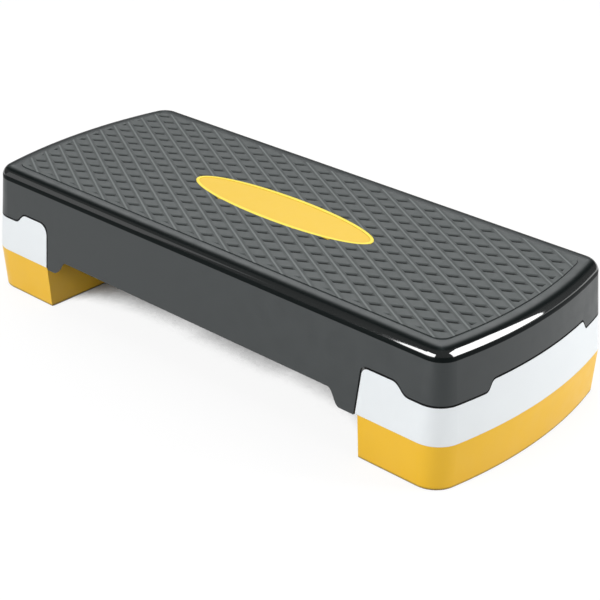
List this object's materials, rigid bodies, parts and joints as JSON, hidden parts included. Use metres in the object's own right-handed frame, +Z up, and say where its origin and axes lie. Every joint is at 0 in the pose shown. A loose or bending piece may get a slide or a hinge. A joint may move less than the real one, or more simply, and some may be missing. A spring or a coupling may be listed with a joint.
{
  "type": "aerobic step platform",
  "caption": "Two-height aerobic step: grey moulded deck with a lozenge-patterned non-slip tread, white risers and pull-off yellow feet that set its height.",
  "frame": {"origin": "on the floor under the middle of the step", "axes": "+X along the step towards its right-hand end, +Y from front to back, +Z up"},
  "size_m": [0.68, 0.2804, 0.1463],
  "materials": {
    "deck_grey": "dark grey moulded polypropylene, satin skirt and glossy rim",
    "tread_grey": "matte dark grey anti-slip panel",
    "badge_yellow": "satin yellow inlay",
    "riser_white": "white moulded polypropylene",
    "foot_yellow": "yellow moulded polypropylene",
    "screw_steel": "zinc-plated",
    "pad_rubber": "black rubber"
  },
  "bodies": {
    "deck": {"deck": "deck_grey", "tread_mat": "tread_grey", "oval_badge": "badge_yellow", "left_riser": "riser_white", "left_riser_screws": "screw_steel", "right_riser": "riser_white", "right_riser_screws": "screw_steel"},
    "left_foot": {"left_foot": "foot_yellow", "left_foot_inner_front_pad": "pad_rubber", "left_foot_inner_back_pad": "pad_rubber", "left_foot_outer_front_pad": "pad_rubber", "left_foot_outer_back_pad": "pad_rubber"},
    "right_foot": {"right_foot": "foot_yellow", "right_foot_inner_front_pad": "pad_rubber", "right_foot_inner_back_pad": "pad_rubber", "right_foot_outer_front_pad": "pad_rubber", "right_foot_outer_back_pad": "pad_rubber"}
  },
  "joints": [
    {"name": "left_foot_pull", "type": "slide", "parent": "deck", "child": "left_foot", "axis": [0, 0, -1], "range_m": [0, 0.08]},
    {"name": "right_foot_pull", "type": "slide", "parent": "deck", "child": "right_foot", "axis": [0, 0, -1], "range_m": [0, 0.08]}
  ]
}
